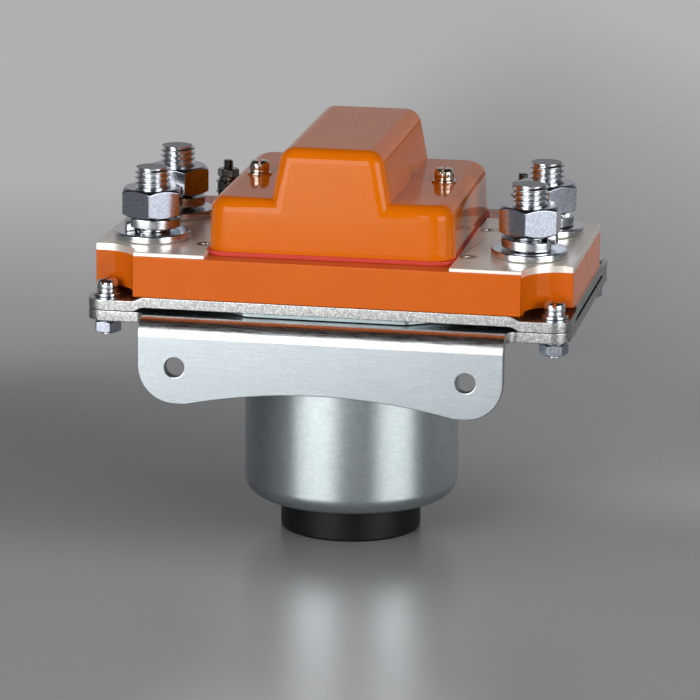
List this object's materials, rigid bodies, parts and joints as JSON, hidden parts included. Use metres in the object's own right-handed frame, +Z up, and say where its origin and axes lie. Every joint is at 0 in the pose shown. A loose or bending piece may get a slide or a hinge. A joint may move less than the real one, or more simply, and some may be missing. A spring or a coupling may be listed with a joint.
{
  "type": "dc contactor",
  "caption": "Open-type DC power contactor: moulded base with stud terminals, domed arc cover, round coil can below and a bent steel mounting bracket.",
  "frame": {"origin": "on the coil axis, at the underside of the end cap that the contactor stands on", "axes": "+Z up along the coil axis, towards the cover; -Y towards the mounting flange (front); +X right, along the longest side"},
  "size_m": [0.135, 0.0943, 0.1156],
  "materials": {
    "cover": "glossy orange moulded thermoset",
    "gasket": "red sheet rubber",
    "base": "glossy orange moulded thermoset",
    "terminal_plate": "silver-plated copper sheet, satin",
    "silver": "silver contact alloy",
    "stud": "zinc-plated steel",
    "nut": "zinc-plated steel",
    "spring_washer": "zinc-plated spring steel",
    "washer": "zinc-plated steel",
    "plate_screw": "nickel-plated steel",
    "cover_screw": "nickel-plated steel",
    "corner_screw": "zinc-plated steel",
    "corner_nut": "zinc-plated steel",
    "coil_stud": "zinc-plated steel",
    "coil_nut": "zinc-plated steel",
    "plate_steel": "zinc-plated sheet steel",
    "can_steel": "satin zinc-plated drawn steel",
    "cap": "matt black moulded plastic",
    "bobbin": "natural nylon",
    "winding": "enamelled copper wire under tape",
    "lead": "insulated copper lead",
    "core": "turned soft iron",
    "small_steel": "zinc-plated steel",
    "guide_tube": "drawn brass",
    "guide_bush": "natural nylon",
    "stop_washer": "black rubber",
    "spring": "spring steel wire",
    "rod": "ground stainless steel",
    "insulator": "moulded insulating resin",
    "bridge": "bare copper bar"
  },
  "bodies": {
    "housing": {"cover": "cover", "cover_gasket": "gasket", "base": "base", "terminal_plate_left": "terminal_plate", "terminal_plate_right": "terminal_plate", "fixed_tips": "silver", "terminal_stud_left_front": "stud", "terminal_stud_left_rear": "stud", "terminal_stud_right_front": "stud", "terminal_stud_right_rear": "stud", "terminal_nut_left_front": "nut", "terminal_nut_left_rear": "nut", "terminal_nut_right_front": "nut", "terminal_nut_right_rear": "nut", "terminal_spring_washer_left_front": "spring_washer", "terminal_spring_washer_left_rear": "spring_washer", "terminal_spring_washer_right_front": "spring_washer", "terminal_spring_washer_right_rear": "spring_washer", "terminal_washer_left_front": "washer", "terminal_washer_left_rear": "washer", "terminal_washer_right_front": "washer", "terminal_washer_right_rear": "washer", "plate_screws": "plate_screw", "cover_screws": "cover_screw", "cover_spring_washers": "cover_screw", "cover_washers": "cover_screw", "corner_screws": "corner_screw", "corner_spring_washers": "corner_screw", "corner_washers": "corner_screw", "corner_lower_spring_washers": "corner_nut", "corner_nuts": "corner_nut", "coil_stud_left": "coil_stud", "coil_stud_right": "coil_stud", "coil_stud_nuts": "coil_nut", "coil_stud_washers": "coil_nut", "coil_stud_spring_washers": "coil_nut", "yoke_plate": "plate_steel", "mounting_bracket": "plate_steel", "coil_can": "can_steel", "end_cap": "cap", "bobbin": "bobbin", "coil_winding": "winding", "coil_leads": "lead", "fixed_core": "core", "core_nut": "small_steel", "core_washer": "small_steel", "guide_tube": "guide_tube", "guide_bush": "guide_bush", "stop_washer": "stop_washer", "return_spring": "spring"},
    "plunger_group": {"plunger": "core", "push_rod": "rod", "insulating_bush": "insulator", "spring_cup": "small_steel", "rod_nut": "small_steel", "contact_spring": "spring"},
    "bridge_group": {"contact_bridge": "bridge", "moving_tips": "silver", "insulating_washer": "insulator"}
  },
  "joints": [
    {"name": "plunger_slide", "type": "slide", "parent": "housing", "child": "plunger_group", "axis": [0, 0, -1], "range_m": [0, 0.0055], "stiffness_N_per_m": 400, "springref_m": -0.004, "deforming": ["return_spring"]},
    {"name": "bridge_slide", "type": "slide", "parent": "plunger_group", "child": "bridge_group", "axis": [0, 0, 1], "range_m": [0, 0.0015], "stiffness_N_per_m": 400, "springref_m": -0.001, "deforming": ["contact_spring"]}
  ],
  "couplings": [
    {"joint": "bridge_slide", "follows": "plunger_slide", "ratio": 0.27}
  ]
}
